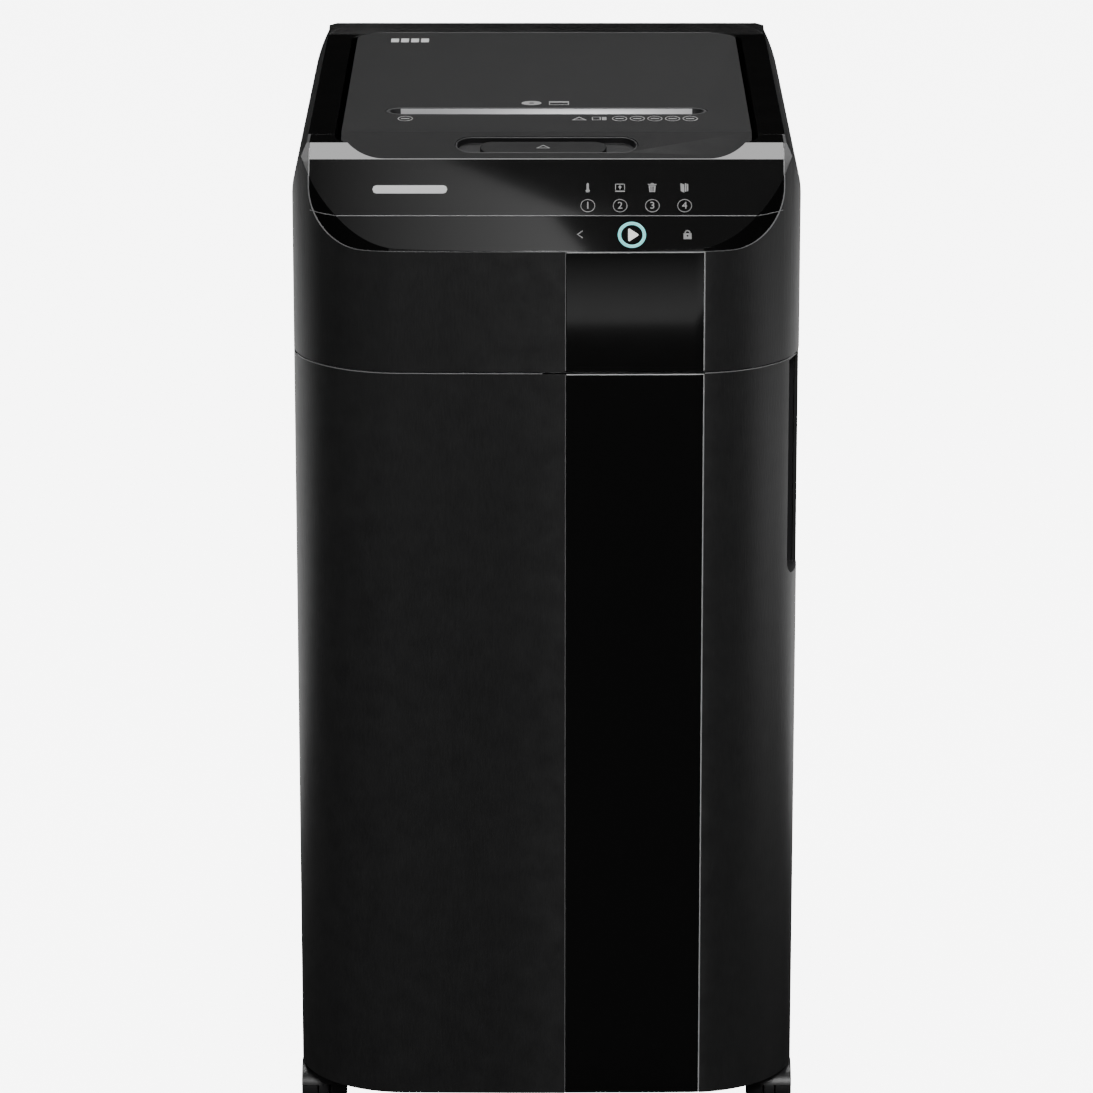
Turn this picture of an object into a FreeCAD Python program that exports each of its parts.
import FreeCAD, Part
import os
import re

import Sketcher
from FreeCAD import Rotation, Vector

# An auto-feed paper shredder on twin-wheel casters. Millimetres, +X right, +Y to the rear, +Z up.
# The origin is on the floor, under the middle of the cabinet.

doc = FreeCAD.newDocument("paper_shredder")

# ---------------------------------------------------------------- driving dimensions

DIMENSIONS = {
    # outer body
    "body_width": 400, "body_depth": 560, "deck_height": 810, "head_height": 169,
    "front_corner": 88, "rear_corner": 55, "front_bow": 4, "wall": 3, "seam_gap": 1.5,
    "shoulder_inset": 13, "shoulder_drop": 50, "rear_rise": 4, "rear_band": 46,
    # sloped front of the head
    "foot_drop": 73, "crease_back": 17.5, "crease_drop": 48.5,
    "slope_back": 49, "slope_fall": 10.5, "deck_back": 62,
    "button_x": 66, "button_rise": 0.47, "button_radius": 11,
    "panel_inset": 15.5, "panel_corner": 42, "panel_gap": 0.3, "head_split": 93, "frame_depth": 13,
    # stripe
    "stripe_left": 14.5, "stripe_width": 108.5, "stripe_depth": 1.5,
    # lid
    "lid_inset": 39, "lid_lip": 3, "lid_crease": 95, "lid_rear_inset": 48,
    "lid_proud": 2, "lid_depth": 14, "lid_nose": 11, "lid_front_corner": 35, "lid_rear_corner": 25,
    "lid_side_gap": 5, "lid_front_gap": 2.5, "lid_rear_gap": 7.5, "lid_wall": 3,
    "hinge_inset": 9, "hinge_drop": 8, "ear_inset": 32, "ear_width": 6, "hinge_pin_radius": 3,
    "hinge_clearance": 0.05, "knuckle_width": 6, "knuckle_gap": 0.4, "knuckle_wall": 1.8, "eye_wall": 1.6,
    # manual feed slot
    "slot_back": 176, "throat_length": 236, "throat_gap": 7, "slot_flare": 10.5,
    "slot_mouth": 30, "slot_rim": 3, "slot_depth": 24,
    # latch
    "well_length": 143, "well_mouth": 27, "well_middle": 74, "well_depth": 7, "well_wall": 1.5,
    "button_length": 99, "button_mouth": 19, "button_offset": -2.5, "button_thickness": 4,
    "latch_travel": 4.5,
    # paper tray
    "tray_inset": 5, "tray_floor_drop": 65, "tray_top_drop": 20, "tray_end_inset": 10,
    "tray_wall": 2.5, "tray_corner": 15, "plate_width": 190, "plate_depth": 120,
    "plate_front": 200, "plate_thickness": 3, "plate_corner": 12,
    # cutter block
    "cutter_rise": 57, "shaft_spacing": 38, "disc_radius": 22, "disc_thickness": 4,
    "disc_pitch": 8.6, "journal_radius": 8, "running_clearance": 0.05, "bush_wall": 4,
    "side_plate": 6, "cutter_tooth": 3,
    # drive
    "gear_width": 10, "timing_teeth": 19, "main_teeth": 44, "main_module": 1.5,
    "small_teeth": 14, "big_teeth": 66, "big_module": 1.25, "pinion_teeth": 16, "backlash": 0.3,
    "motor_radius": 26, "motor_length": 130, "drive_pulley": 10.5, "feed_pulley": 7,
    "pulley_width": 8, "belt_thickness": 1.5, "roller_radius": 15, "roller_width": 30,
    "roller_place": 45, "roller_proud": 3, "feed_shaft_radius": 3,
    # cabinet and bin
    "base_step": 4, "base_thickness": 3, "base_inset": 4.5, "front_wrap": 97,
    "tub_inset": 38, "tub_front": 8, "tub_rear_inset": 60, "tub_lift": 14, "tub_drop": 71,
    "tub_wall": 2.5, "tub_corner": 45, "front_wall": 3.5,
    "grip_height": 179, "grip_front": 50, "grip_corner": 12,
    # casters
    "caster_inset": 18, "caster_front": 96, "caster_trail": 16,
    "wheel_radius": 19.5, "wheel_width": 13, "wheel_space": 10, "stem_radius": 4,
    "axle_radius": 3, "hood_wall": 1.2, "hood_gap": 0.6,
    # electrics
    "inlet_inset": 80, "inlet_rise": 49, "inlet_width": 28, "inlet_height": 22, "inlet_depth": 24,
    "switch_step": 38, "switch_width": 15, "switch_height": 22, "switch_pivot": 1,
    "vent_width": 110, "vent_rise": 31, "vent_height": 60, "screw_radius": 3.5,
}

# Places and sizes that follow from the ones above.
FOLLOWING = {
    "seam_height": "deck_height - head_height", "shoulder_start": "deck_height - shoulder_drop",
    "panel_foot": "deck_height - foot_drop", "crease_height": "deck_height - crease_drop",
    "slope_height": "deck_height - slope_fall", "panel_width": "body_width - 2 * panel_inset",
    "lid_width": "body_width - 2 * lid_inset", "lid_front": "slope_back + lid_lip",
    "lid_front_height": "deck_height - slope_fall", "lid_rear": "body_depth - lid_rear_inset",
    "hinge_back": "lid_rear - hinge_inset", "ear_place": "lid_width / 2 - ear_inset",
    "slot_length": "throat_length + 2 * slot_flare", "cutter_length": "throat_length + 4",
    "tray_width": "lid_width - 2 * tray_inset", "tray_front": "lid_crease + 5",
    "tray_rear": "lid_rear - tray_end_inset", "tray_floor": "deck_height - tray_floor_drop",
    "tray_top": "deck_height - tray_top_drop",
    "cutter_height": "seam_height + cutter_rise", "hub_radius": "shaft_spacing - disc_radius - 1",
    "timing_module": "shaft_spacing / timing_teeth",
    "plate_high": "tray_floor - 3", "plate_front_edge": "slot_back - shaft_spacing / 2 - disc_radius - 5",
    "feed_back": "slot_back + shaft_spacing / 2 + disc_radius + 9",
    "feed_height": "tray_floor + roller_proud - roller_radius",
    "cabinet_bottom": "2 * wheel_radius + 3", "base_bottom": "cabinet_bottom + base_step",
    "rear_panel_half": "body_width / 2 - rear_corner - 5",
    "tub_width": "body_width - 2 * tub_inset", "tub_rear": "body_depth - tub_rear_inset",
    "tub_bottom": "base_bottom + tub_lift", "tub_top": "seam_height - tub_drop",
    "grip_low": "seam_height - grip_height",
    "caster_x": "body_width / 2 - caster_inset", "caster_rear": "body_depth - caster_front",
    "inlet_x": "body_width / 2 - inlet_inset", "inlet_z": "seam_height + inlet_rise",
    "switch_x": "inlet_x - switch_step", "vent_left": "-vent_width",
    "vent_low": "seam_height + vent_rise",
}
ALL_CELLS = {**DIMENSIONS, **{name: "=" + text for name, text in FOLLOWING.items()}}

sheet = doc.addObject("Spreadsheet::Sheet", "Sheet")
for row, (alias, value) in enumerate(ALL_CELLS.items(), start=1):
    sheet.set(f"A{row}", alias)
    sheet.set(f"B{row}", str(value))
    sheet.setAlias(f"B{row}", alias)
doc.recompute()

# ---------------------------------------------------------------- modelling helpers


def cells(text):
    """Write an expression's bare names as cells of the sheet."""
    return re.sub(r"[a-z]\w*", lambda word: "Sheet." + word[0] if word[0] in ALL_CELLS else word[0],
                  str(text))


def value_of(text):
    return float(sheet.evalExpression(cells(text)))


def bind(thing, prop, text):
    thing.setExpression(prop, cells(text))


def span(name, across, along, upward):
    """A block between two limits on each axis."""
    block = doc.addObject("Part::Box", name)
    for side, axis, (low, high) in zip(("Length", "Width", "Height"), "xyz", (across, along, upward)):
        bind(block, side, f"({high}) - ({low})")
        bind(block, f"Placement.Base.{axis}", low)
    return block


TURNS = {"X": Rotation(Vector(0, 1, 0), 90), "Y": Rotation(Vector(1, 0, 0), -90), "Z": Rotation()}


def rod(name, axis, start, length, radius):
    """A cylinder that starts at a point and runs along +axis."""
    cylinder = doc.addObject("Part::Cylinder", name)
    cylinder.Placement.Rotation = TURNS[axis]
    bind(cylinder, "Height", length)
    bind(cylinder, "Radius", radius)
    for letter, text in zip("xyz", start):
        bind(cylinder, f"Placement.Base.{letter}", text)
    return cylinder


def joined(kind, name, pieces):
    result = doc.addObject(kind, name)
    result.Shapes = list(pieces)
    return result


def fuse(name, *pieces):
    return joined("Part::MultiFuse", name, pieces)


def common(name, *pieces):
    return joined("Part::MultiCommon", name, pieces)


def cut(name, base, *tools):
    result = doc.addObject("Part::Cut", name)
    result.Base = base
    result.Tool = tools[0] if len(tools) == 1 else fuse(name + "_tools", *tools)
    return result


def plane_sketch(body, name, role, level):
    """An empty sketch on one of the body's own origin planes, lifted to a level."""
    sketch = body.newObject("Sketcher::SketchObject", name)
    plane = next(item for item in body.Origin.OriginFeatures if item.Role == role)
    sketch.AttachmentSupport = (plane, [""])
    sketch.MapMode = "FlatFace"
    bind(sketch, "AttachmentOffset.Base.z", level)
    return sketch


def fix_point(sketch, geometry, end, across, upward):
    """Hold one end of a line at a place measured from the sketch's origin."""
    for kind, text in (("DistanceX", across), ("DistanceY", upward)):
        number = sketch.addConstraint(
            Sketcher.Constraint(kind, -1, 1, geometry, end, value_of(text)))
        bind(sketch, f"Constraints[{number}]", text)


def draw_outline(sketch, points, arcs=()):
    """A closed outline. arcs maps a side's number to its radius; the arc bulges outwards."""
    places = [Vector(value_of(across), value_of(upward), 0) for across, upward in points]
    count = len(points)
    arcs = dict(arcs)
    for side, start in enumerate(places):
        end = places[(side + 1) % count]
        if side in arcs:
            radius = value_of(arcs[side])
            chord = end - start
            sagitta = radius - (radius ** 2 - (chord.Length / 2) ** 2) ** 0.5
            outward = Vector(chord.y, -chord.x, 0).normalize()
            sketch.addGeometry(Part.Arc(start, (start + end) / 2 + outward * sagitta, end))
        else:
            sketch.addGeometry(Part.LineSegment(start, end))
    for side in range(count):
        sketch.addConstraint(Sketcher.Constraint("Coincident", side, 2, (side + 1) % count, 1))
        fix_point(sketch, side, 1, *points[side])
        if side in arcs:
            number = sketch.addConstraint(
                Sketcher.Constraint("Radius", side, value_of(arcs[side])))
            bind(sketch, f"Constraints[{number}]", arcs[side])


def draw_circle(sketch, radius):
    """A circle about the sketch's origin."""
    circle = sketch.addGeometry(Part.Circle(Vector(0, 0, 0), Vector(0, 0, 1), value_of(radius)))
    sketch.addConstraint(Sketcher.Constraint("Coincident", circle, 3, -1, 1))
    number = sketch.addConstraint(Sketcher.Constraint("Radius", circle, value_of(radius)))
    bind(sketch, f"Constraints[{number}]", radius)


ROLES = {"Z": "XY_Plane", "X": "YZ_Plane", "Y": "XZ_Plane"}


def prism(name, axis, points, low, high, arcs=()):
    """A body with one outline padded along an axis. Points are given anticlockwise."""
    body = doc.addObject("PartDesign::Body", name)
    level = f"-({high})" if axis == "Y" else low
    sketch = plane_sketch(body, name + "_outline", ROLES[axis], level)
    draw_outline(sketch, points, arcs)
    pad = body.newObject("PartDesign::Pad", name + "_pad")
    pad.Profile = sketch
    bind(pad, "Length", f"({high}) - ({low})")
    doc.recompute()
    return body


def round_edges(body, radius, chosen):
    """Fillet the edges of a body that a test picks out."""
    tip = body.Tip
    names = [f"Edge{number}" for number, edge in enumerate(tip.Shape.Edges, start=1) if chosen(edge)]
    fillet = body.newObject("PartDesign::Fillet", body.Name + "_round")
    fillet.Base = (tip, names)
    bind(fillet, "Radius", radius)
    doc.recompute()
    return body


def runs_along(edge, axis):
    box = edge.BoundBox
    size = {"X": box.XLength, "Y": box.YLength, "Z": box.ZLength}
    return size.pop(axis) > 1e-3 and max(size.values()) < 1e-3


def rectangle(x_low, x_high, y_low, y_high):
    return [(x_low, y_low), (x_high, y_low), (x_high, y_high), (x_low, y_high)]


def stadium(name, middle_x, middle_y, length, width, low, high):
    """A slot-shaped block, its round ends on the X axis."""
    half = f"(({length}) - ({width})) / 2"
    points = [(f"{middle_x} - {half}", f"{middle_y} - ({width}) / 2"),
              (f"{middle_x} + {half}", f"{middle_y} - ({width}) / 2"),
              (f"{middle_x} + {half}", f"{middle_y} + ({width}) / 2"),
              (f"{middle_x} - {half}", f"{middle_y} + ({width}) / 2")]
    end = f"({width}) / 2 + 0.0001"
    return prism(name, "Z", points, low, high, {1: end, 3: end})


def back(distance):
    """A Y place, from its distance behind the front of the cabinet."""
    return f"({distance}) - body_depth / 2"


NODES = []


def node(thing, label):
    """Name a finished piece; the name is also its file's."""
    thing.Label = label
    NODES.append(thing)
    return thing


# ---------------------------------------------------------------- outer form


def plan_block(name, inset, low, high):
    """The cabinet's plan, with its bowed front and round corners, as an upright block."""
    half = f"body_width / 2 - ({inset})"
    front = f"-body_depth / 2 + front_bow + ({inset})"
    rear = f"body_depth / 2 - ({inset})"
    bow = f"(({half}) * ({half}) + front_bow * front_bow) / (2 * front_bow)"
    points = [(f"-({half})", front), (half, front), (half, rear), (f"-({half})", rear)]
    body = prism(name, "Z", points, low, high, {0: bow})
    round_edges(body, f"front_corner - ({inset})",
                lambda edge: runs_along(edge, "Z") and edge.CenterOfMass.y < 0)
    return round_edges(body, f"rear_corner - ({inset})",
                       lambda edge: runs_along(edge, "Z") and edge.CenterOfMass.y > value_of(rear) - 1
                       and abs(edge.CenterOfMass.x) > value_of(half) - 1)


SHOULDER_RISE = "(deck_height - shoulder_start)"
SHOULDER_RADIUS = f"(shoulder_inset * shoulder_inset + {SHOULDER_RISE} * {SHOULDER_RISE}) / (2 * shoulder_inset)"


def head_block(name, inset):
    """The head's outer form, or its inner form when it is set in by a wall."""
    low = f"seam_height - 2 * ({inset})"
    plan = plan_block(name + "_plan", inset, low, "deck_height + rear_rise + 10")
    top = f"deck_height - ({inset})"
    side_points = [
        (back(inset), low),
        (f"body_depth / 2 - ({inset})", low),
        (f"body_depth / 2 - ({inset})", "shoulder_start"),
        (f"body_depth / 2 - shoulder_inset - ({inset})", f"{top} + rear_rise"),
        (back("body_depth - rear_band"), top),
        (back(f"deck_back + ({inset}) * 0.4"), top),
        (back(f"slope_back + ({inset}) * 0.9"), f"slope_height - ({inset}) * 0.35"),
        (back(f"crease_back + ({inset}) * 1.2"), "crease_height"),
        (back(inset), f"panel_foot - ({inset}) * 0.35"),
    ]
    side = prism(name + "_side", "X", side_points, "-body_width / 2 - 1", "body_width / 2 + 1",
                 {2: SHOULDER_RADIUS})
    edge, flat = f"body_width / 2 - ({inset})", f"body_width / 2 - shoulder_inset - ({inset})"
    front_points = [
        (f"-({edge})", low), (edge, low), (edge, "shoulder_start"), (flat, "deck_height"),
        (flat, "deck_height + rear_rise + 5"), (f"-({flat})", "deck_height + rear_rise + 5"),
        (f"-({flat})", "deck_height"), (f"-({edge})", "shoulder_start"),
    ]
    front = prism(name + "_front", "Y", front_points, "-body_depth / 2 - 1", "body_depth / 2 + 1",
                  {2: SHOULDER_RADIUS, 6: SHOULDER_RADIUS})
    return common(name, plan, side, front)


head_outer = head_block("head_outer", "0")
head_inner = head_block("head_inner", "wall")
head_wall = cut("head_wall", head_outer, head_inner)

# The control panel's outline, seen from the front, and the place that the lid drops into.


def panel_block(name, grow):
    half = f"panel_width / 2 + ({grow})"
    points = rectangle(f"-({half})", half, f"panel_foot - ({grow})", "deck_height + 20")
    body = prism(name, "Y", points, "-body_depth / 2 - 5", back("head_split"))
    return round_edges(body, "panel_corner",
                       lambda edge: runs_along(edge, "Y") and edge.CenterOfMass.z < value_of("deck_height"))


def lid_block(name, grow_side, grow_front, grow_rear, low, high):
    half = f"lid_width / 2 + ({grow_side})"
    points = rectangle(f"-({half})", half, back(f"lid_front - ({grow_front})"),
                       back(f"lid_rear + ({grow_rear})"))
    body = prism(name, "Z", points, low, high)
    round_edges(body, f"lid_front_corner + ({grow_side})",
                lambda edge: runs_along(edge, "Z") and edge.CenterOfMass.y < 0)
    return round_edges(body, f"lid_rear_corner + ({grow_side})",
                       lambda edge: runs_along(edge, "Z") and edge.CenterOfMass.y > 0
                       and abs(edge.CenterOfMass.x) > value_of(half) - 1)


ABOVE = "deck_height + 30"
lid_opening = lid_block("lid_opening", "lid_side_gap", "lid_front_gap", "lid_rear_gap",
                        "tray_top - 10", ABOVE)
panel_zone = panel_block("panel_zone", "0")
panel_seat = panel_block("panel_seat", "panel_gap")
EVERY_X = ("-body_width / 2 - 5", "body_width / 2 + 5")
HEAD_Z = ("seam_height - 20", ABOVE)
front_zone = span("front_zone", EVERY_X, ("-body_depth / 2 - 5", back("head_split")), HEAD_Z)
rear_zone = span("rear_zone", EVERY_X, (back("head_split"), "body_depth / 2 + 5"), HEAD_Z)
frame_zone = plan_block("frame_zone", "shoulder_inset", "deck_height - frame_depth", ABOVE)
frame_zone_rear = common("frame_zone_rear", frame_zone, rear_zone)


def stripe_block(name, low, high, side_gap):
    """The skin of the cabinet's front, as wide as the stripe."""
    across = (f"stripe_left + ({side_gap})", f"stripe_left + stripe_width - ({side_gap})")
    column = span(name + "_column", across, ("-body_depth / 2 - 5", "0"), (low, high))
    return cut(name, common(name + "_slice", plan_block(name + "_plan", "0", low, high), column),
               plan_block(name + "_core", "stripe_depth", low, high))


# ---------------------------------------------------------------- head

FOOT_ANGLE = "atan2(crease_height - panel_foot; crease_back)"


def button_disc(name, radius, low, high):
    """A round piece square to the lower part of the panel, at the start button."""
    disc = rod(name, "Z", ("button_x", "0", "0"), f"({high}) - ({low})", radius)
    disc.Placement.Rotation = Rotation(Vector(1, 0, 0), 1)
    bind(disc, "Placement.Rotation.Angle", FOOT_ANGLE)
    bind(disc, "Placement.Base.y",
         back(f"crease_back * button_rise - ({low}) * sin({FOOT_ANGLE})"))
    bind(disc, "Placement.Base.z", "panel_foot + (crease_height - panel_foot) * button_rise"
                                   f" + ({low}) * cos({FOOT_ANGLE})")
    return disc


panel_skin = common("panel_solid", cut("panel_skin", head_wall, lid_opening), panel_zone)
node(cut("panel_piece", panel_skin, button_disc("lens_hole", "button_radius + 0.15", "-wall - 3", "3")),
     "control_panel")
node(button_disc("lens_piece", "button_radius", "-wall", "0"), "start_button_lens")

head_stripe_top = "panel_foot - panel_gap"
stripe_bed = stripe_block("stripe_bed", "seam_height - 1", head_stripe_top, "0")
node(stripe_block("head_stripe_piece", "seam_height", head_stripe_top, "panel_gap"), "head_stripe")
front_skin = common("front_skin", head_wall, front_zone)
node(cut("front_cover_piece", front_skin, panel_seat, lid_opening, stripe_bed), "head_front_cover")

frame_skin = common("frame_skin", head_wall, frame_zone_rear)
flange_outer = lid_block("flange_outer", "lid_side_gap + wall", "lid_front_gap",
                         "lid_rear_gap + wall", "deck_height - frame_depth", "deck_height - 1")
flange_rear = common("flange_rear", flange_outer, rear_zone)
frame_body = fuse("frame_body", frame_skin, flange_rear)
node(cut("frame_piece", frame_body, lid_opening), "top_frame")

REAR_WALL = ("body_depth / 2 - 3 * wall", "body_depth / 2 + 5")
INLET_Z = ("inlet_z - inlet_height / 2", "inlet_z + inlet_height / 2")
SWITCH_Z = ("inlet_z - switch_height / 2", "inlet_z + switch_height / 2")
INLET_X = ("inlet_x - inlet_width / 2", "inlet_x + inlet_width / 2")
SWITCH_X = ("switch_x - switch_width / 2", "switch_x + switch_width / 2")
VENT_X = ("vent_left", "vent_left + vent_width")
VENT_Z = ("vent_low", "vent_low + vent_height")
rear_skin = common("rear_skin", head_wall, rear_zone)
node(cut("head_shell_piece", rear_skin, frame_zone_rear,
         span("inlet_hole", INLET_X, REAR_WALL, INLET_Z),
         span("switch_hole", SWITCH_X, REAR_WALL, SWITCH_Z),
         span("vent_hole", VENT_X, REAR_WALL, VENT_Z)), "head_shell")

vent_plate = span("vent_plate", VENT_X, ("body_depth / 2 - wall", "body_depth / 2"), VENT_Z)
VENT_SLATS = 7
vent_slots = []
for slat in range(VENT_SLATS):
    slot_low = f"vent_low + 3 + {slat} * (vent_height - 3) / {VENT_SLATS}"
    vent_slots.append(span(f"vent_slot_{slat}", ("vent_left + 4", "vent_left + vent_width - 4"),
                           REAR_WALL, (slot_low, f"{slot_low} + 4.5")))
node(cut("vent_piece", vent_plate, *vent_slots), "rear_vent")

inlet_body = span("inlet_body", INLET_X, ("body_depth / 2 - inlet_depth", "body_depth / 2"), INLET_Z)
inlet_socket = span("inlet_socket", ("inlet_x - inlet_width / 2 + 2", "inlet_x + inlet_width / 2 - 2"),
                    ("body_depth / 2 - inlet_depth + 4", "body_depth / 2 + 5"),
                    ("inlet_z - inlet_height / 2 + 2", "inlet_z + inlet_height / 2 - 2"))
inlet_pins = [span(f"inlet_pin_{side}", (f"inlet_x + {side} * 7 - 1", f"inlet_x + {side} * 7 + 1"),
                   ("body_depth / 2 - inlet_depth + 3", "body_depth / 2 - 5"),
                   (f"inlet_z - 3 + {lift}", f"inlet_z + 2 + {lift}"))
              for side, lift in ((-1, -1), (0, 3), (1, -1))]
node(fuse("inlet_piece", cut("inlet_shell", inlet_body, inlet_socket), *inlet_pins), "power_inlet")

switch_body = span("switch_body", SWITCH_X, ("body_depth / 2 - 20", "body_depth / 2"), SWITCH_Z)
switch_hollow = span("switch_hollow", ("switch_x - switch_width / 2 + 1", "switch_x + switch_width / 2 - 1"),
                     ("body_depth / 2 - 14", "body_depth / 2 + 5"),
                     ("inlet_z - switch_height / 2 + 1", "inlet_z + switch_height / 2 - 1"))
PIVOT_Y = "body_depth / 2 - 7"
pivot_bore = rod("pivot_bore", "X", ("switch_x - switch_width / 2 - 1", PIVOT_Y, "inlet_z"),
                 "switch_width + 2", "switch_pivot + running_clearance")
node(cut("switch_housing_piece", switch_body, switch_hollow, pivot_bore), "switch_housing")
rocker_half = "(switch_height / 2 - 2.6)"
rocker_points = [("body_depth / 2 - 8", f"inlet_z - {rocker_half}"),
                 ("body_depth / 2 - 0.5", f"inlet_z - {rocker_half}"),
                 ("body_depth / 2 - 2.5", "inlet_z"),
                 ("body_depth / 2 - 2.5", f"inlet_z + {rocker_half}"),
                 ("body_depth / 2 - 8", f"inlet_z + {rocker_half}")]
rocker = prism("rocker_paddle", "X", rocker_points, "switch_x - switch_width / 2 + 1.4",
               "switch_x + switch_width / 2 - 1.4")
rocker_pivot = rod("rocker_pivot", "X", ("switch_x - switch_width / 2 + 0.3", PIVOT_Y, "inlet_z"),
                   "switch_width - 0.6", "switch_pivot")
node(fuse("rocker_piece", rocker, rocker_pivot), "rocker_switch")

# The touch board behind the panel, and the power board beside the cutters.
board_front = back("crease_back + 14")
node(span("control_board_piece", ("-20", "135"), (board_front, f"{board_front} + 1.6"),
          ("panel_foot + 4", "crease_height + 12")), "control_board")
node(span("power_board_piece", ("-body_width / 2 + 15", "-body_width / 2 + 55"), (back("300"), back("430")),
          ("seam_height + 12", "seam_height + 40")), "power_board")

# ---------------------------------------------------------------- lid

LID_TOP = "(deck_height + lid_proud)"
LID_LOW = f"({LID_TOP} - lid_depth)"


def lid_form(name, inset):
    """The lid's solid form: flat behind the crease, falling away in front of it."""
    outline = lid_block(name + "_outline", f"-({inset})", f"-({inset})", f"-({inset})",
                        "tray_floor", ABOVE)
    low = f"{LID_LOW} - ({inset})"
    nose_low = f"lid_front_height - lid_nose - ({inset})"
    points = [(back(f"lid_front + ({inset})"), nose_low), (back("lid_crease"), low),
              (back(f"lid_rear - ({inset})"), low),
              (back(f"lid_rear - ({inset})"), f"{LID_TOP} - ({inset})"),
              (back("lid_crease"), f"{LID_TOP} - ({inset})"),
              (back(f"lid_front + ({inset})"), f"lid_front_height - ({inset})")]
    side = prism(name + "_side", "X", points, "-lid_width / 2 - 1", "lid_width / 2 + 1")
    return common(name, outline, side)


HINGE_Y = back("hinge_back")
HINGE_Z = f"({LID_TOP} - hinge_drop)"
EAR_SPANS = [(f"{side} * ear_place - ear_width / 2", f"{side} * ear_place + ear_width / 2")
             for side in (-1, 1)]


def hinge_notches(name):
    """Room in the lid's rear edge for the two hinge ears."""
    return [span(f"{name}_{number}", (f"{low} - 0.8", f"{high} + 0.8"),
                 (f"{HINGE_Y} - 9", f"{HINGE_Y} + 20"), (f"{LID_LOW} - 12", f"{LID_TOP} - lid_wall"))
            for number, (low, high) in enumerate(EAR_SPANS)]


SLOPE_RUN = "(lid_crease - lid_front)"
SLOPE_DROP = f"({LID_TOP} - lid_front_height)"
SLOPE_ANGLE = f"atan2({SLOPE_DROP}; {SLOPE_RUN})"
WELL_Y = back("well_middle")
WELL_Z = f"({LID_TOP} - {SLOPE_DROP} * (lid_crease - well_middle) / {SLOPE_RUN})"


def on_slope(thing):
    """Tilt a piece, drawn about the origin, onto the lid's sloped front."""
    thing.Placement.Rotation = Rotation(Vector(1, 0, 0), 1)
    bind(thing, "Placement.Rotation.Angle", SLOPE_ANGLE)
    bind(thing, "Placement.Base.y", WELL_Y)
    bind(thing, "Placement.Base.z", WELL_Z)
    return thing


SLOT_Y = back("slot_back")
slot_hole = stadium("slot_hole", "0", SLOT_Y, "slot_length", "slot_mouth", f"{LID_LOW} - 20", ABOVE)
well_hole = on_slope(stadium("well_hole", "0", "0", "well_length", "well_mouth", "-20", "10"))
lid_shell = cut("lid_shell", lid_form("lid_solid", "0"), lid_form("lid_core", "lid_wall"))
node(cut("lid_cover_piece", lid_shell, slot_hole, well_hole, *hinge_notches("cover_notch")), "lid_cover")

trim_block = stadium("trim_block", "0", SLOT_Y, "slot_length - 0.4", "slot_mouth - 0.4",
                     f"{LID_TOP} - slot_depth", f"{LID_TOP}")


def slot_section(name, length, width, level):
    """A slot-shaped wire for the funnel."""
    sketch = doc.addObject("Sketcher::SketchObject", name)
    bind(sketch, "Placement.Base.z", level)
    bind(sketch, "Placement.Base.y", SLOT_Y)
    half = f"(({length}) - ({width})) / 2"
    points = [(f"-{half}", f"-({width}) / 2"), (half, f"-({width}) / 2"),
              (half, f"({width}) / 2"), (f"-{half}", f"({width}) / 2")]
    end = f"({width}) / 2 + 0.0001"
    draw_outline(sketch, points, {1: end, 3: end})
    return sketch


funnel = doc.addObject("Part::Loft", "funnel")
funnel.Sections = [
    slot_section("funnel_low", "throat_length", "throat_gap", f"{LID_TOP} - slot_depth - 1"),
    slot_section("funnel_high", "slot_length - 2 * slot_rim", "slot_mouth - 2 * slot_rim",
                 f"{LID_TOP} + 0.5"),
]
funnel.Solid = True
funnel.Ruled = True
node(cut("slot_trim_piece", trim_block, funnel), "slot_trim")

liner_block = lid_block("liner_block", "-lid_wall - 0.3", "-lid_wall - 0.3", "-(lid_rear - hinge_back + 10)",
                        LID_LOW, f"{LID_LOW} + 2.5")
liner_front = span("liner_front", EVERY_X, (back("0"), back("lid_crease + 3")),
                   (f"{LID_LOW} - 5", f"{LID_LOW} + 5"))
liner_slot = stadium("liner_slot", "0", SLOT_Y, "slot_length + 0.6", "slot_mouth + 0.6",
                     f"{LID_LOW} - 5", ABOVE)
liner_plate = cut("liner_plate", liner_block, liner_front, liner_slot,
                  *hinge_notches("liner_notch"))
knuckles = []
for side in (-1, 1):
    for place in (-1, 1):
        middle = f"({side} * ear_place + {place} * (ear_width / 2 + knuckle_gap + knuckle_width / 2))"
        low, high = f"{middle} - knuckle_width / 2", f"{middle} + knuckle_width / 2"
        tag = f"{side + 1}{place + 1}"
        knuckles.append(rod(f"knuckle_{tag}", "X", (low, HINGE_Y, HINGE_Z), "knuckle_width",
                            "hinge_pin_radius + knuckle_wall"))
        knuckles.append(span(f"knuckle_web_{tag}", (low, high), (f"{HINGE_Y} - 18", HINGE_Y),
                             (LID_LOW, f"{HINGE_Z} + 4.5")))
pin_bore = rod("pin_bore", "X", ("-lid_width / 2", HINGE_Y, HINGE_Z), "lid_width",
               "hinge_pin_radius + hinge_clearance")
node(cut("liner_piece", fuse("liner_body", liner_plate, *knuckles), pin_bore), "lid_liner")

HINGE_PIN = "(ear_width + 2 * knuckle_gap + 2 * knuckle_width)"
node(fuse("hinge_pins_piece",
          *[rod(f"hinge_pin_{side + 1}", "X", (f"{side} * ear_place - {HINGE_PIN} / 2", HINGE_Y, HINGE_Z),
                HINGE_PIN, "hinge_pin_radius") for side in (-1, 1)]), "hinge_pins")

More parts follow.
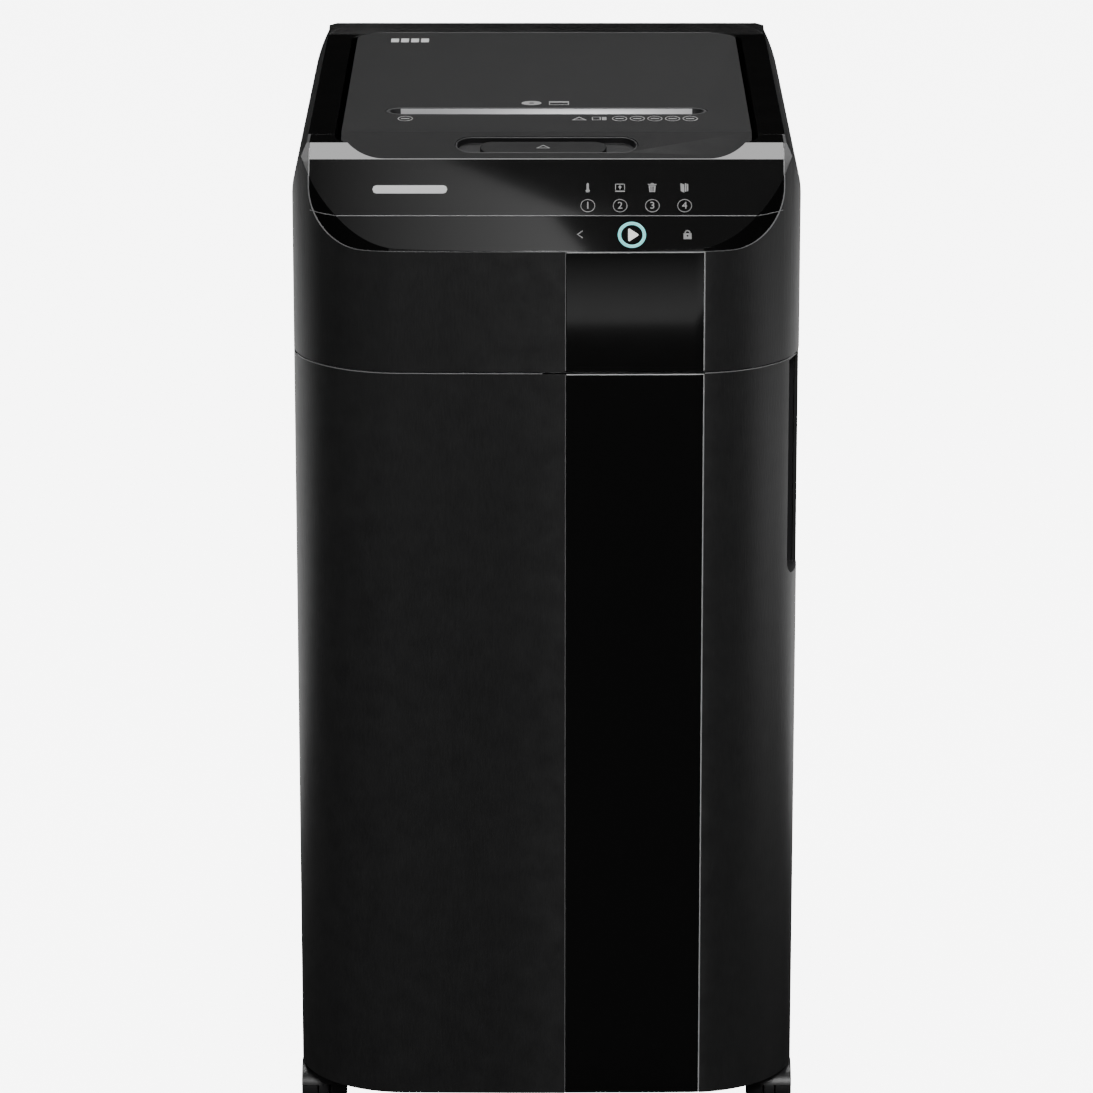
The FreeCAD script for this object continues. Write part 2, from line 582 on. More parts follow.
# Latch: a cup let into the lid's slope, a finger button that slides in it, and its hook.
well_cup = stadium("well_cup", "0", "0", "well_length - 0.4", "well_mouth - 0.4", "-well_depth", "-0.2")
well_cup_hollow = stadium("well_cup_hollow", "0", "0", "well_length - 0.4 - 2 * well_wall",
                          "well_mouth - 0.4 - 2 * well_wall", "-well_depth + well_wall", "1")
hook_slot = span("hook_slot", ("-9", "9"), ("-3.5", "latch_travel + 3.5"), ("-well_depth - 1", "0"))
node(on_slope(cut("latch_well_piece", well_cup, well_cup_hollow, hook_slot)), "latch_well")
button_y = "-latch_travel / 2"
button_low = "-well_depth + well_wall + 0.4"
button = stadium("button_piece", "button_offset", button_y, "button_length", "button_mouth",
                 button_low, f"{button_low} + button_thickness")
node(on_slope(button), "latch_button")
hook_stem = span("hook_stem", ("-6", "6"), ("-2.5", "1.5"), ("-30", button_low))
hook_barb = span("hook_barb", ("-6", "6"), ("-6", "-2.5"), ("-30", "-26"))
node(on_slope(fuse("hook_piece", hook_stem, hook_barb)), "latch_hook")

# Sprung plate that holds the stack on the feed rollers.
PLATE_LOW = "(feed_height + roller_radius + 0.5)"
PLATE_Y = (back("plate_front"), back("plate_front + plate_depth"))
node(round_edges(prism("plate_piece", "Z", rectangle("-plate_width / 2", "plate_width / 2", *PLATE_Y),
                       PLATE_LOW, f"{PLATE_LOW} + plate_thickness"), "plate_corner",
                 lambda edge: runs_along(edge, "Z")), "pressure_plate")
SPRING_LOW = f"({PLATE_LOW} + plate_thickness)"
springs = []
for side in (-1, 1):
    place = (f"{side} * plate_width / 3", back("plate_front + plate_depth / 2"), SPRING_LOW)
    outer = rod(f"spring_outer_{side + 1}", "Z", place, f"{LID_LOW} - {SPRING_LOW}", "6")
    inner = rod(f"spring_inner_{side + 1}", "Z", place, f"{LID_LOW} - {SPRING_LOW}", "4.5")
    springs.append(cut(f"spring_{side + 1}", outer, inner))
node(fuse("springs_piece", *springs), "pressure_springs")

# ---------------------------------------------------------------- paper tray


def tray_block(name, inset, low, high):
    points = rectangle(f"-tray_width / 2 + ({inset})", f"tray_width / 2 - ({inset})",
                       back(f"tray_front + ({inset})"), back(f"tray_rear - ({inset})"))
    body = prism(name, "Z", points, low, high)
    return round_edges(body, f"tray_corner - ({inset})", lambda edge: runs_along(edge, "Z"))


tray_outer = tray_block("tray_outer", "0", "tray_floor - tray_wall", "tray_top")
tray_inner = tray_block("tray_inner", "tray_wall", "tray_floor", "tray_top + 5")
tray_throat = stadium("tray_throat", "0", SLOT_Y, "throat_length + 4", "16", "tray_floor - 10",
                      "tray_floor + 5")
roller_windows = [span(f"roller_window_{side + 1}",
                       (f"{side} * roller_place - roller_width / 2 - 2",
                        f"{side} * roller_place + roller_width / 2 + 2"),
                       (back("feed_back - roller_radius - 2"), back("feed_back + roller_radius + 2")),
                       ("tray_floor - 10", "tray_floor + 5")) for side in (-1, 1)]
ears = []
for number, (low, high) in enumerate(EAR_SPANS):
    ears.append(rod(f"ear_eye_{number}", "X", (low, HINGE_Y, HINGE_Z), "ear_width",
                    "hinge_pin_radius + eye_wall"))
    ears.append(span(f"ear_stalk_{number}", (low, high), (f"{HINGE_Y} - 4.6", f"{HINGE_Y} + 4.6"),
                     ("tray_floor + 20", HINGE_Z)))
ear_bore = rod("ear_bore", "X", ("-lid_width / 2", HINGE_Y, HINGE_Z), "lid_width", "hinge_pin_radius")
tray_body = cut("tray_body", tray_outer, tray_inner, tray_throat, *roller_windows)
node(fuse("tray_piece", tray_body, cut("tray_ears", fuse("ears", *ears), ear_bore)), "paper_tray")

# ---------------------------------------------------------------- cutter block

FRONT_Y = back("slot_back - shaft_spacing / 2")
REAR_Y = back("slot_back + shaft_spacing / 2")
PLATE_INNER = "(cutter_length / 2 + 2)"
PLATE_OUTER = f"({PLATE_INNER} + side_plate)"
DISCS = int(value_of("cutter_length / disc_pitch"))
DISC_TEETH = 5


def cutter(name, place, shift, right_reach, left_reach):
    """A steel shaft with toothed cutting discs in a row along it."""
    body = doc.addObject("PartDesign::Body", name)
    for tag, radius, low, high in (("shaft", "journal_radius", f"-{left_reach}", right_reach),
                                   ("hub", "hub_radius", "-cutter_length / 2", "cutter_length / 2")):
        circle_sketch = plane_sketch(body, f"{name}_{tag}", "YZ_Plane", low)
        draw_circle(circle_sketch, radius)
        pad = body.newObject("PartDesign::Pad", f"{name}_{tag}_pad")
        pad.Profile = circle_sketch
        bind(pad, "Length", f"({high}) - ({low})")
        doc.recompute()
    disc = plane_sketch(body, name + "_disc", "YZ_Plane", f"-cutter_length / 2 + {shift}")
    points, arcs = [], {}
    for tooth in range(DISC_TEETH):
        turn, ramp = 360 / DISC_TEETH * tooth, 360 / DISC_TEETH * tooth + 18
        points += [(f"disc_radius * cos({turn} deg)", f"disc_radius * sin({turn} deg)"),
                   (f"(disc_radius - cutter_tooth) * cos({turn} deg)",
                    f"(disc_radius - cutter_tooth) * sin({turn} deg)"),
                   (f"disc_radius * cos({ramp} deg)", f"disc_radius * sin({ramp} deg)")]
        arcs[3 * tooth + 2] = "disc_radius"
    draw_outline(disc, points, arcs)
    disc_pad = body.newObject("PartDesign::Pad", name + "_disc_pad")
    disc_pad.Profile = disc
    bind(disc_pad, "Length", "disc_thickness")
    doc.recompute()
    discs = body.newObject("PartDesign::LinearPattern", name + "_discs")
    discs.Originals = [disc_pad]
    discs.Direction = (disc, ["N_Axis"])
    discs.Occurrences = DISCS
    bind(discs, "Length", f"disc_pitch * {DISCS - 1}")
    body.Tip = discs
    bind(body, "Placement.Base.y", place)
    bind(body, "Placement.Base.z", "cutter_height")
    doc.recompute()
    return body


BUSH = "(journal_radius + running_clearance + bush_wall)"
TIMING_LOW = f"({PLATE_OUTER} + 3)"
TIMING_HIGH = f"({TIMING_LOW} + gear_width)"
MAIN_LOW = f"({TIMING_HIGH} + 3)"
MAIN_HIGH = f"({MAIN_LOW} + gear_width)"
BIG_LOW = f"({MAIN_HIGH} + 2)"
BIG_HIGH = f"({BIG_LOW} + gear_width)"
PULLEY_LOW = f"({PLATE_OUTER} + 3)"
PULLEY_HIGH = f"({PULLEY_LOW} + pulley_width)"
half_pitch = "disc_pitch / 2"
node(cutter("front_cutter_piece", FRONT_Y, "0.15", MAIN_HIGH, PULLEY_HIGH), "front_cutter")
node(cutter("rear_cutter_piece", REAR_Y, f"{half_pitch} + 0.15", TIMING_HIGH, PLATE_OUTER), "rear_cutter")


def gear(name, place_y, place_z, module, teeth, low, high, bore, turned="0"):
    """A spur gear: a disc with one tooth gap, repeated round its axis."""
    body = doc.addObject("PartDesign::Body", name)
    outer = f"({module} * ({teeth} + 2) / 2)"
    blank = plane_sketch(body, name + "_blank", "YZ_Plane", low)
    for radius in (outer, bore):
        draw_circle(blank, radius)
    pad = body.newObject("PartDesign::Pad", name + "_pad")
    pad.Profile = blank
    bind(pad, "Length", f"({high}) - ({low})")
    doc.recompute()
    gap = plane_sketch(body, name + "_gap", "YZ_Plane", f"{low} - 1")
    mouth = f"({module} * 1.15 + backlash)"
    foot = f"({module} * 0.42 + backlash)"
    root = f"({module} * ({teeth} - 2.5) / 2)"
    draw_outline(gap, [(root, f"-{foot}"), (f"{outer} + 0.01", f"-{mouth}"),
                       (f"{outer} + 0.01", mouth), (root, foot)])
    pocket = body.newObject("PartDesign::Pocket", name + "_tooth_gap")
    pocket.Profile = gap
    pocket.Reversed = True
    bind(pocket, "Length", f"({high}) - ({low}) + 2")
    doc.recompute()
    ring = body.newObject("PartDesign::PolarPattern", name + "_ring")
    ring.Originals = [pocket]
    ring.Axis = (gap, ["N_Axis"])
    ring.Occurrences = int(value_of(teeth))
    body.Tip = ring
    body.Placement.Rotation = Rotation(Vector(1, 0, 0), 1)
    bind(body, "Placement.Rotation.Angle", turned)
    bind(body, "Placement.Base.y", place_y)
    bind(body, "Placement.Base.z", place_z)
    doc.recompute()
    return body


# With a tooth gap at angle 0, half a tooth is added where a tooth has to point at its partner.
IDLER_Y = f"({FRONT_Y} + main_module * (main_teeth + small_teeth) / 2)"
MOTOR_Y = f"({IDLER_Y} + big_module * (big_teeth + pinion_teeth) / 2)"
front_timing = gear("front_timing", FRONT_Y, "cutter_height", "timing_module", "timing_teeth",
                    TIMING_LOW, TIMING_HIGH, "journal_radius")
main_gear = gear("main_gear", FRONT_Y, "cutter_height", "main_module", "main_teeth",
                 MAIN_LOW, MAIN_HIGH, "journal_radius")
front_pulley = cut("front_pulley", rod("front_pulley_disc", "X", (f"-{PULLEY_HIGH}", FRONT_Y, "cutter_height"),
                                       "pulley_width", "drive_pulley"),
                   rod("front_pulley_bore", "X", (f"-{PULLEY_HIGH} - 1", FRONT_Y, "cutter_height"),
                       "pulley_width + 2", "journal_radius"))
node(fuse("front_gears_piece", front_timing, main_gear, front_pulley), "front_shaft_gears")
node(gear("rear_timing", REAR_Y, "cutter_height", "timing_module", "timing_teeth",
          TIMING_LOW, TIMING_HIGH, "journal_radius"), "rear_shaft_gear")
IDLER_BORE = "(stem_radius + running_clearance)"
idler_small = gear("idler_small", IDLER_Y, "cutter_height", "main_module", "small_teeth",
                   MAIN_LOW, f"{MAIN_HIGH} + 2", IDLER_BORE, "180 / small_teeth")
idler_big = gear("idler_big", IDLER_Y, "cutter_height", "big_module", "big_teeth",
                 BIG_LOW, BIG_HIGH, IDLER_BORE)
node(fuse("idler_piece", idler_small, idler_big), "idler_gear")
pinion_gear = gear("pinion_gear", MOTOR_Y, "cutter_height", "big_module", "pinion_teeth",
                   BIG_LOW, BIG_HIGH, "stem_radius", "180 / pinion_teeth")
MOTOR_SHAFT_LOW = f"({PLATE_INNER} - 25)"
pinion_shaft = rod("pinion_shaft", "X", (MOTOR_SHAFT_LOW, MOTOR_Y, "cutter_height"),
                   f"{BIG_HIGH} - {MOTOR_SHAFT_LOW}", "stem_radius")
node(fuse("pinion_piece", pinion_gear, pinion_shaft), "motor_pinion")

COVER_LOW = f"({BIG_HIGH} + 1)"
cover_plate = span("cover_plate", (COVER_LOW, f"{COVER_LOW} + 3"),
                   (back("plate_front_edge"), f"{MOTOR_Y} + 45"), ("seam_height + 5", "plate_high - 3"))
idler_axle = rod("idler_axle", "X", (f"{MAIN_LOW} - 1", IDLER_Y, "cutter_height"),
                 f"{COVER_LOW} - {MAIN_LOW} + 1", "stem_radius")
node(fuse("gear_cover_piece", cover_plate, idler_axle), "gear_cover")

RIGHT_Y = (back("plate_front_edge"), f"{MOTOR_Y} + motor_radius + 6")
LEFT_Y = (back("plate_front_edge"), back("feed_back + 12"))
PLATE_Z = ("seam_height + base_thickness", "plate_high")
side_plates = fuse("side_plates", span("right_plate", (PLATE_INNER, PLATE_OUTER), RIGHT_Y, PLATE_Z),
                   span("left_plate", (f"-{PLATE_OUTER}", f"-{PLATE_INNER}"), LEFT_Y, PLATE_Z))


def across_bore(name, place_y, place_z, radius):
    return rod(name, "X", ("-body_width / 2", place_y, place_z), "body_width", radius)


FEED_Y = back("feed_back")
FEED_BUSH = "(feed_shaft_radius + running_clearance + 2)"
TIE_PLACES = [(back("plate_front_edge + 5"), "seam_height + 12"), (back("plate_front_edge + 5"), "plate_high - 8"),
              (back("feed_back - 8"), "seam_height + 12")]
node(cut("side_plates_piece", side_plates, across_bore("front_bore", FRONT_Y, "cutter_height", BUSH),
         across_bore("rear_bore", REAR_Y, "cutter_height", BUSH),
         across_bore("feed_bore", FEED_Y, "feed_height", FEED_BUSH),
         across_bore("motor_bore", MOTOR_Y, "cutter_height", "stem_radius + 1"),
         *[across_bore(f"tie_bore_{number}", *place, "4")
           for number, place in enumerate(TIE_PLACES)]), "cutter_side_plates")
node(fuse("tie_rods_piece",
          *[rod(f"tie_rod_{number}", "X", (f"-{PLATE_OUTER} - 2", *place), f"2 * {PLATE_OUTER} + 4", "4")
            for number, place in enumerate(TIE_PLACES)]), "tie_rods")

bushes = []
for side in (-1, 1):
    edge = PLATE_INNER if side == 1 else f"-{PLATE_OUTER}"
    for tag, place_y, place_z, outer, inner in (
            ("front", FRONT_Y, "cutter_height", BUSH, "journal_radius + running_clearance"),
            ("rear", REAR_Y, "cutter_height", BUSH, "journal_radius + running_clearance"),
            ("feed", FEED_Y, "feed_height", FEED_BUSH, "feed_shaft_radius + running_clearance")):
        label = f"bush_{tag}_{side + 1}"
        bushes.append(cut(label, rod(label + "_outer", "X", (edge, place_y, place_z), "side_plate", outer),
                          rod(label + "_inner", "X", (f"{edge} - 1", place_y, place_z), "side_plate + 2",
                              inner)))
node(fuse("bushes_piece", *bushes), "shaft_bushes")


def comb(name, bar_low, bar_high, finger_end, shift):
    """A bar with one finger between each pair of discs, to clear the paper from them."""
    body = doc.addObject("PartDesign::Body", name)
    level = "cutter_height - 3"
    bar = plane_sketch(body, name + "_bar", "XY_Plane", level)
    draw_outline(bar, rectangle(f"-{PLATE_INNER}", PLATE_INNER, bar_low, bar_high))
    bar_pad = body.newObject("PartDesign::Pad", name + "_bar_pad")
    bar_pad.Profile = bar
    bar_pad.Length = 6
    doc.recompute()
    first = f"-cutter_length / 2 + {shift} + disc_thickness + 0.5"
    near, far = (finger_end, bar_low) if value_of(finger_end) < value_of(bar_low) else (bar_high, finger_end)
    finger = plane_sketch(body, name + "_finger", "XY_Plane", level)
    draw_outline(finger, rectangle(first, f"{first} + disc_pitch - disc_thickness - 1", near, far))
    finger_pad = body.newObject("PartDesign::Pad", name + "_finger_pad")
    finger_pad.Profile = finger
    finger_pad.Length = 6
    doc.recompute()
    row_of = body.newObject("PartDesign::LinearPattern", name + "_fingers")
    row_of.Originals = [finger_pad]
    row_of.Direction = (finger, ["H_Axis"])
    row_of.Occurrences = DISCS - 1
    bind(row_of, "Length", f"disc_pitch * {DISCS - 2}")
    body.Tip = row_of
    doc.recompute()
    return body


front_comb = comb("front_comb", back("plate_front_edge + 1"), back("plate_front_edge + 4"),
                  f"{FRONT_Y} - hub_radius - 1", "0.15")
rear_comb = comb("rear_comb", f"{REAR_Y} + disc_radius + 1", f"{REAR_Y} + disc_radius + 4",
                 f"{REAR_Y} + hub_radius + 1", f"{half_pitch} + 0.15")
node(fuse("combs_piece", front_comb, rear_comb), "stripper_combs")

motor_can = rod("motor_can", "X", (f"{PLATE_INNER} - motor_length", MOTOR_Y, "cutter_height"),
                "motor_length", "motor_radius")
motor_bore = rod("motor_bore_in", "X", (f"{MOTOR_SHAFT_LOW} - 1", MOTOR_Y, "cutter_height"),
                 "motor_length", "stem_radius + running_clearance")
motor_cap = rod("motor_cap", "X", (f"{PLATE_INNER} - motor_length - 8", MOTOR_Y, "cutter_height"), "8",
                "motor_radius * 0.45")
node(cut("motor_piece", fuse("motor_body", motor_can, motor_cap), motor_bore), "motor")
cradle = span("cradle", (f"{PLATE_INNER} - motor_length + 10", f"{PLATE_INNER} - motor_length + 40"),
              (f"{MOTOR_Y} - motor_radius", f"{MOTOR_Y} + motor_radius"),
              ("seam_height + base_thickness", "cutter_height - 5"))
cradle_round = rod("cradle_round", "X", (f"{PLATE_INNER} - motor_length", MOTOR_Y, "cutter_height"), "60",
                   "motor_radius")
node(cut("cradle_piece", cradle, cradle_round), "motor_cradle")

# Feed shaft under the tray floor: two rubber rollers and a pulley driven by the front cutter's belt.
FEED_Z = "feed_height"
feed_shaft = rod("feed_shaft_piece", "X", (f"-{PULLEY_HIGH}", FEED_Y, FEED_Z), f"{PULLEY_HIGH} + {PLATE_OUTER}",
                 "feed_shaft_radius")
feed_wheel = rod("feed_wheel", "X", (f"-{PULLEY_HIGH}", FEED_Y, FEED_Z), "pulley_width", "feed_pulley")
node(fuse("feed_shaft_body", feed_shaft, feed_wheel), "feed_shaft")
rollers = []
for side in (-1, 1):
    start = (f"{side} * roller_place - roller_width / 2", FEED_Y, FEED_Z)
    rollers.append(cut(f"roller_{side + 1}", rod(f"roller_tyre_{side + 1}", "X", start, "roller_width",
                                                 "roller_radius"),
                       rod(f"roller_bore_{side + 1}", "X", start, "roller_width", "feed_shaft_radius")))
node(fuse("rollers_piece", *rollers), "feed_rollers")


def belt_form(name, extra, low, high):
    """The space inside a belt round the two pulleys, grown outwards by an amount."""
    drive, feed = f"(drive_pulley + ({extra}))", f"(feed_pulley + ({extra}))"
    run_y, run_z = f"({FEED_Y} - ({FRONT_Y}))", "(feed_height - cutter_height)"
    reach = f"sqrt({run_y} * {run_y} + {run_z} * {run_z})"
    lean = f"asin((drive_pulley - feed_pulley) / {reach})"
    points = [(f"{drive} * sin({lean})", f"-{drive} * cos({lean})"),
              (f"{reach} + {feed} * sin({lean})", f"-{feed} * cos({lean})"),
              (f"{reach} + {feed} * sin({lean})", f"{feed} * cos({lean})"),
              (f"{drive} * sin({lean})", f"{drive} * cos({lean})")]
    web = prism(name + "_web", "X", points, low, high)
    web.Placement.Rotation = Rotation(Vector(1, 0, 0), 1)
    bind(web, "Placement.Rotation.Angle", f"atan2({run_z}; {run_y})")
    bind(web, "Placement.Base.y", FRONT_Y)
    bind(web, "Placement.Base.z", "cutter_height")
    width = f"({high}) - ({low})"
    return fuse(name, web, rod(name + "_drive", "X", (low, FRONT_Y, "cutter_height"), width, drive),
                rod(name + "_feed", "X", (low, FEED_Y, "feed_height"), width, feed))


node(cut("belt_piece", belt_form("belt_outer", "belt_thickness", f"-{PULLEY_HIGH} + 1", f"-{PULLEY_LOW} - 1"),
         belt_form("belt_inner", "0.1", f"-{PULLEY_HIGH}", f"-{PULLEY_LOW}")), "drive_belt")

# ---------------------------------------------------------------- cabinet

BASE_TOP = "(base_bottom + base_thickness)"
CASTERS = [(f"{end}_{hand}", f"{side} * caster_x", back(f"caster_{end}"), facing)
           for end, facing in (("front", -1), ("rear", 1)) for hand, side in (("left", -1), ("right", 1))]
base = plan_block("base_block", "base_inset", "base_bottom", BASE_TOP)
stem_holes = [rod(f"stem_hole_{label}", "Z", (x, y, "cabinet_bottom"), "30", "stem_radius + running_clearance")
              for label, x, y, facing in CASTERS]
node(cut("base_piece", base, *stem_holes), "base_plate")
caster_pads = [cut(f"caster_pad_{label}",
                   rod(f"caster_pad_disc_{label}", "Z", (x, y, f"{BASE_TOP}"), "7", "stem_radius + 5"),
                   rod(f"caster_pad_bore_{label}", "Z", (x, y, f"{BASE_TOP} - 1"), "9",
                       "stem_radius + running_clearance"))
               for label, x, y, facing in CASTERS]
node(fuse("caster_pads_piece", *caster_pads), "caster_sockets")

CABINET_TOP = "(seam_height - seam_gap)"
DECK_LOW = f"({CABINET_TOP} + 0.5)"
PANEL_GAP_Y = back("front_wrap + seam_gap")
cabinet_outer = plan_block("cabinet_outer", "0", "cabinet_bottom", CABINET_TOP)
cabinet_inner = plan_block("cabinet_inner", "wall", "cabinet_bottom - 5", f"{CABINET_TOP} + 5")
cabinet_wall = cut("cabinet_wall", cabinet_outer, cabinet_inner)
TALL = ("0", "deck_height")
for hand, side in (("left", -1), ("right", 1)):
    edges = [f"{side} * rear_panel_half", f"{side} * (body_width / 2 + 5)"]
    inner = [f"{side} * (body_width / 2 - wall - 16)", f"{side} * (body_width / 2 - wall)"]
    across = tuple(edges if side == 1 else edges[::-1])
    shelf = tuple(inner if side == 1 else inner[::-1])
    skin = common(f"{hand}_skin", cabinet_wall,
                  span(f"{hand}_half", across, (PANEL_GAP_Y, "body_depth / 2 + 5"), TALL))
    foot = span(f"{hand}_foot", shelf, (f"{back('caster_front')} + 12", f"{back('caster_rear')} - 12"),
                (BASE_TOP, f"{BASE_TOP} + 2"))
    head_rail = span(f"{hand}_head_rail", shelf, (f"{PANEL_GAP_Y} + 2", "body_depth / 2 - rear_corner - 10"),
                     (f"{DECK_LOW} - 2", DECK_LOW))
    node(fuse(f"{hand}_side_piece", skin, foot, head_rail), f"{hand}_side_panel")
rear_skin_low = common("rear_skin_low", cabinet_wall,
                       span("rear_middle", ("-rear_panel_half + 0.5", "rear_panel_half - 0.5"),
                            ("0", "body_depth / 2 + 5"), TALL))
SCREW_X = "(rear_panel_half - 12)"
screws = [rod(f"screw_{number}", "Y", (f"{side} * {SCREW_X}", "body_depth / 2 - wall", level), "wall",
              "screw_radius")
          for number, (side, level) in enumerate(
              [(side, level) for side in (-1, 1) for level in ("cabinet_bottom + 40", "seam_height - 40")])]
screw_group = fuse("screws_piece", *screws)
node(cut("rear_panel_piece", rear_skin_low, screw_group), "rear_panel")
node(screw_group, "rear_panel_screws")

CHUTE_X = (f"-{PLATE_INNER}", PLATE_INNER)
CHUTE_Y = (back("plate_front_edge + 8"), back("feed_back - 14"))
deck = plan_block("deck_block", "wall", DECK_LOW, "seam_height + base_thickness")
node(cut("deck_piece", deck, span("deck_hole", CHUTE_X, CHUTE_Y, ("seam_height - 5", "seam_height + 5"))),
     "cutter_deck")
chute_outer = span("chute_outer", tuple(f"{sign} * ({PLATE_INNER} - 0.2)" for sign in (-1, 1)),
                   (f"{CHUTE_Y[0]} + 0.2", f"{CHUTE_Y[1]} - 0.2"), ("tub_top + 10", "seam_height"))
chute_inner = span("chute_inner", tuple(f"{sign} * ({PLATE_INNER} - 2.2)" for sign in (-1, 1)),
                   (f"{CHUTE_Y[0]} + 2.2", f"{CHUTE_Y[1]} - 2.2"), ("tub_top", "seam_height + 5"))
node(cut("chute_piece", chute_outer, chute_inner), "discharge_chute")

rails = []
for side in (-1, 1):
    near, far = f"{side} * (tub_width / 2 + 1.5)", f"{side} * (tub_width / 2 + 4)"
    across = (near, far) if side == 1 else (far, near)
    rails.append(span(f"rail_{side + 1}", across, (back("front_wrap + 30"), back("tub_rear + 10")),
                      (BASE_TOP, f"{BASE_TOP} + 16")))
node(fuse("rails_piece", *rails), "bin_rails")

# ---------------------------------------------------------------- bin

PANEL_Z = ("cabinet_bottom", CABINET_TOP)
door_outer = plan_block("door_outer", "0", *PANEL_Z)
door_inner = plan_block("door_inner", "front_wall", "cabinet_bottom - 5", f"{CABINET_TOP} + 5")
door_zone = span("door_zone", EVERY_X, ("-body_depth / 2 - 5", back("front_wrap")), TALL)
door_skin = common("door_skin", cut("door_wall", door_outer, door_inner), door_zone)
GRIP_Z = ("grip_low", f"{CABINET_TOP} + 5")
grip_hole = round_edges(prism("grip_hole", "X", [(back("grip_front"), "grip_low"),
                                                 (back("front_wrap + 5"), "grip_low"),
                                                 (back("front_wrap + 5"), GRIP_Z[1]),
                                                 (back("grip_front"), GRIP_Z[1])],
                              "tub_width / 2 + 3", "body_width / 2 + 5"), "grip_corner",
                        lambda edge: runs_along(edge, "X") and edge.CenterOfMass.z < value_of("seam_height - 20")
                        and edge.CenterOfMass.y < value_of(back("front_wrap - 20")))
door_ribs = [span(f"door_rib_{number}", (f"{place} - 10", f"{place} + 10"),
                  (back("front_bow / 2 + 1"), back("tub_front")), ("tub_bottom", "tub_top - 20"))
             for number, place in enumerate(("-tub_width / 3", "0", "tub_width / 3"))]
door_bed = stripe_block("door_bed", "cabinet_bottom - 1", f"{CABINET_TOP} + 1", "0")
node(cut("door_piece", fuse("door_body", door_skin, *door_ribs), grip_hole, door_bed), "bin_front_panel")
node(stripe_block("door_stripe", *PANEL_Z, "panel_gap"), "bin_stripe")


def tub_block(name, inset, low, high):
    points = rectangle(f"-tub_width / 2 + ({inset})", f"tub_width / 2 - ({inset})",
                       back(f"tub_front + ({inset})"), back(f"tub_rear - ({inset})"))
    return round_edges(prism(name, "Z", points, low, high), f"tub_corner - ({inset})",
                       lambda edge: runs_along(edge, "Z"))


node(cut("tub_piece", tub_block("tub_outer", "0", "tub_bottom", "tub_top"),
         tub_block("tub_inner", "tub_wall", "tub_bottom + tub_wall", "tub_top + 5")), "bin_tub")
glides = [span(f"glide_{side + 1}", (f"{side} * (tub_width / 2 - 14) - 5", f"{side} * (tub_width / 2 - 14) + 5"),
               (back("tub_front + 30"), back("tub_rear - 30")), (f"{BASE_TOP} + 0.3", "tub_bottom"))
          for side in (-1, 1)]
node(fuse("glides_piece", *glides), "bin_glides")

cup_x = ("tub_width / 2 + 1", "body_width / 2 - front_wall - 0.2")
cup_outer = span("cup_outer", cup_x, (back("grip_front - 4"), back("front_wrap - 0.5")),
                 ("grip_low - 3", f"{CABINET_TOP} - 1"))
cup_hollow = span("cup_hollow", ("tub_width / 2 + 3.5", "body_width / 2 + 5"),
                  (back("grip_front - 1"), back("front_wrap - 3")), ("grip_low", f"{CABINET_TOP} - 3.5"))
cup_corner = common("cup_trimmed", cup_outer, door_inner)
node(cut("cup_piece", cup_corner, cup_hollow), "grip_cup")

# ---------------------------------------------------------------- casters


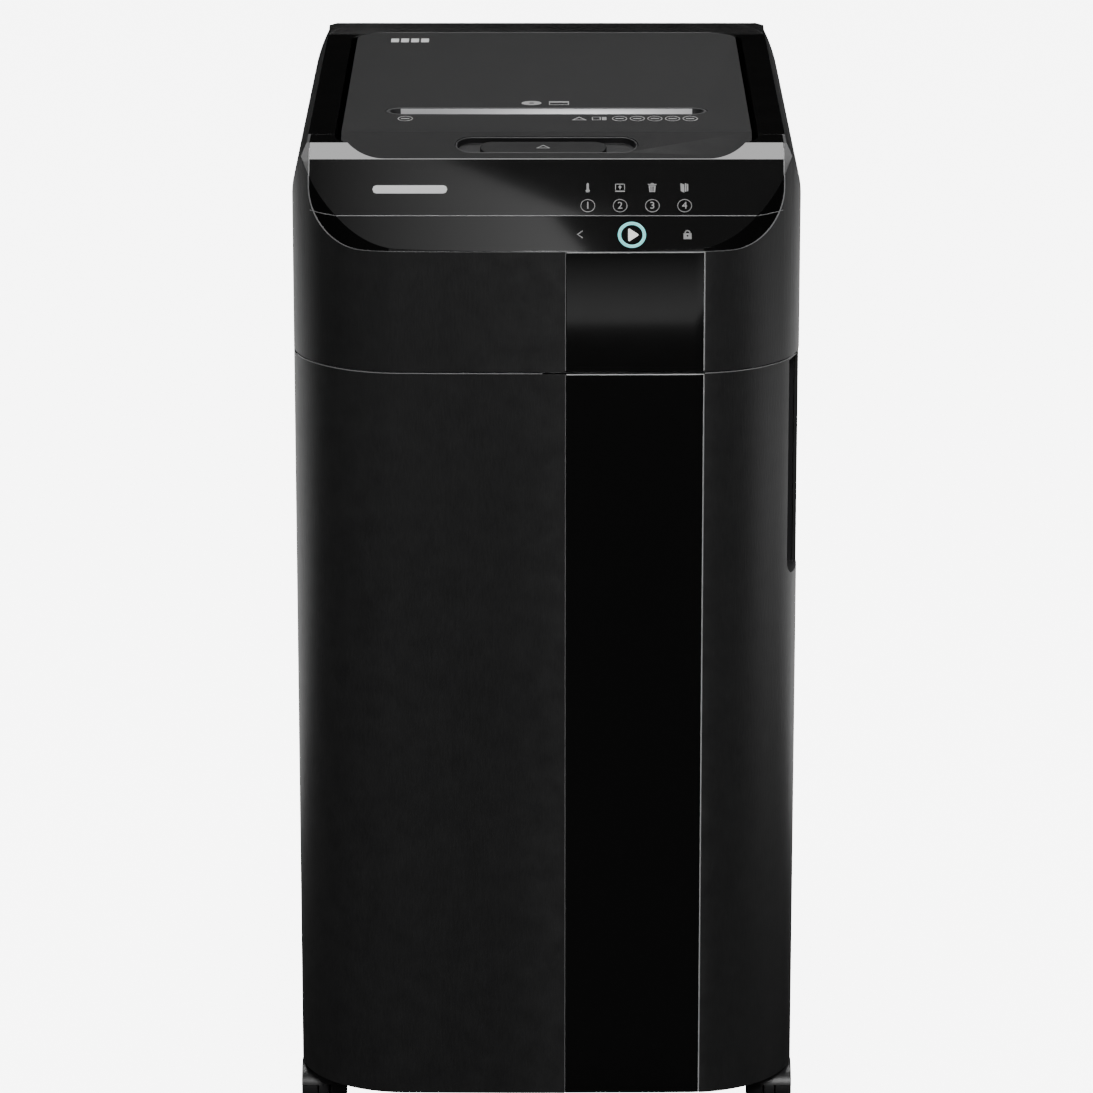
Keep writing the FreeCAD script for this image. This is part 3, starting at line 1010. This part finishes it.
def caster(label, x, y, facing):
    """A hooded twin-wheel caster: the wheels run ahead of the swivel, or behind it."""
    wheel_y = f"({y} + {facing} * caster_trail)"
    wheel_z = "wheel_radius"
    out = "(wheel_space / 2 + wheel_width)"
    web = "(wheel_space / 2 - 1)"
    cover = "(wheel_radius + hood_gap + hood_wall)"
    shell = cut(f"{label}_shell",
                rod(f"{label}_cover", "X", (f"({x}) - {out}", wheel_y, wheel_z), f"2 * {out}", cover),
                rod(f"{label}_cover_in", "X", (f"({x}) - {out} - 1", wheel_y, wheel_z), f"2 * {out} + 2",
                    "wheel_radius + hood_gap"),
                span(f"{label}_cover_low", (f"({x}) - 40", f"({x}) + 40"), (f"{wheel_y} - 40", f"{wheel_y} + 40"),
                     ("-5", "wheel_radius + 6")))
    disc = common(f"{label}_web", rod(f"{label}_web_disc", "X", (f"({x}) - {web}", wheel_y, wheel_z),
                                      f"2 * {web}", cover),
                  span(f"{label}_web_top", (f"({x}) - 40", f"({x}) + 40"),
                       (f"{wheel_y} - 40", f"{wheel_y} + 40"), ("6", "60")))
    race_low = f"(wheel_radius + {cover} + 0.3)"
    neck = span(f"{label}_neck", (f"({x}) - {web}", f"({x}) + {web}"), (f"{y} - 7", f"{y} + 7"),
                ("wheel_radius - 2", f"{race_low} + 0.5"))
    race = rod(f"{label}_race", "Z", (x, y, race_low), "2.6", "stem_radius + 5")
    stem = rod(f"{label}_stem", "Z", (x, y, race_low), f"{BASE_TOP} + 6 - {race_low}", "stem_radius")
    body = fuse(f"{label}_hood_body", shell, disc, neck, race, stem)
    axle_bore = rod(f"{label}_axle_bore", "X", (f"({x}) - {out}", wheel_y, wheel_z), f"2 * {out}",
                    "axle_radius + running_clearance")
    node(cut(f"{label}_hood_piece", body, axle_bore), f"{label}_caster_hood")
    wheels = []
    for side in (-1, 1):
        start = f"({x}) + {side} * ({out} + wheel_space / 2) / 2 - wheel_width / 2"
        tyre = rod(f"{label}_tyre_{side + 1}", "X", (start, wheel_y, wheel_z), "wheel_width", "wheel_radius")
        dish_low = f"({x}) + {out} - 2" if side == 1 else f"({x}) - {out} - 1"
        dish = cut(f"{label}_dish_{side + 1}",
                   rod(f"{label}_dish_out_{side + 1}", "X", (dish_low, wheel_y, wheel_z), "3",
                       "wheel_radius - 4"),
                   rod(f"{label}_dish_hub_{side + 1}", "X", (dish_low, wheel_y, wheel_z), "3", "7"))
        wheels.append(cut(f"{label}_wheel_{side + 1}", tyre, dish))
    axle = rod(f"{label}_axle", "X", (f"({x}) - {out} + 2", wheel_y, wheel_z), f"2 * {out} - 4", "axle_radius")
    node(fuse(f"{label}_wheels_piece", axle, *wheels), f"{label}_caster_wheels")


for place in CASTERS:
    caster(*place)

# ---------------------------------------------------------------- check and write

doc.recompute()
problems = [f"{item.Label}: {', '.join(item.State)}" for item in doc.Objects
            if {"Invalid", "Error"} & set(item.State)]
problems += [f"{piece.Label}: bad shape" for piece in NODES
             if piece.Shape.isNull() or not piece.Shape.isValid() or not piece.Shape.Solids]
if problems:
    raise SystemExit("\n".join(problems))

os.makedirs("parts", exist_ok=True)
for piece in NODES:
    piece.Shape.exportStep(f"parts/{piece.Label}.step")
    box = piece.Shape.BoundBox
    print(f"{piece.Label:26s} {len(piece.Shape.Solids)} solids  "
          f"x {box.XMin:7.1f} {box.XMax:7.1f}  y {box.YMin:7.1f} {box.YMax:7.1f}  z {box.ZMin:6.1f} {box.ZMax:6.1f}")
print(len(NODES), "nodes")
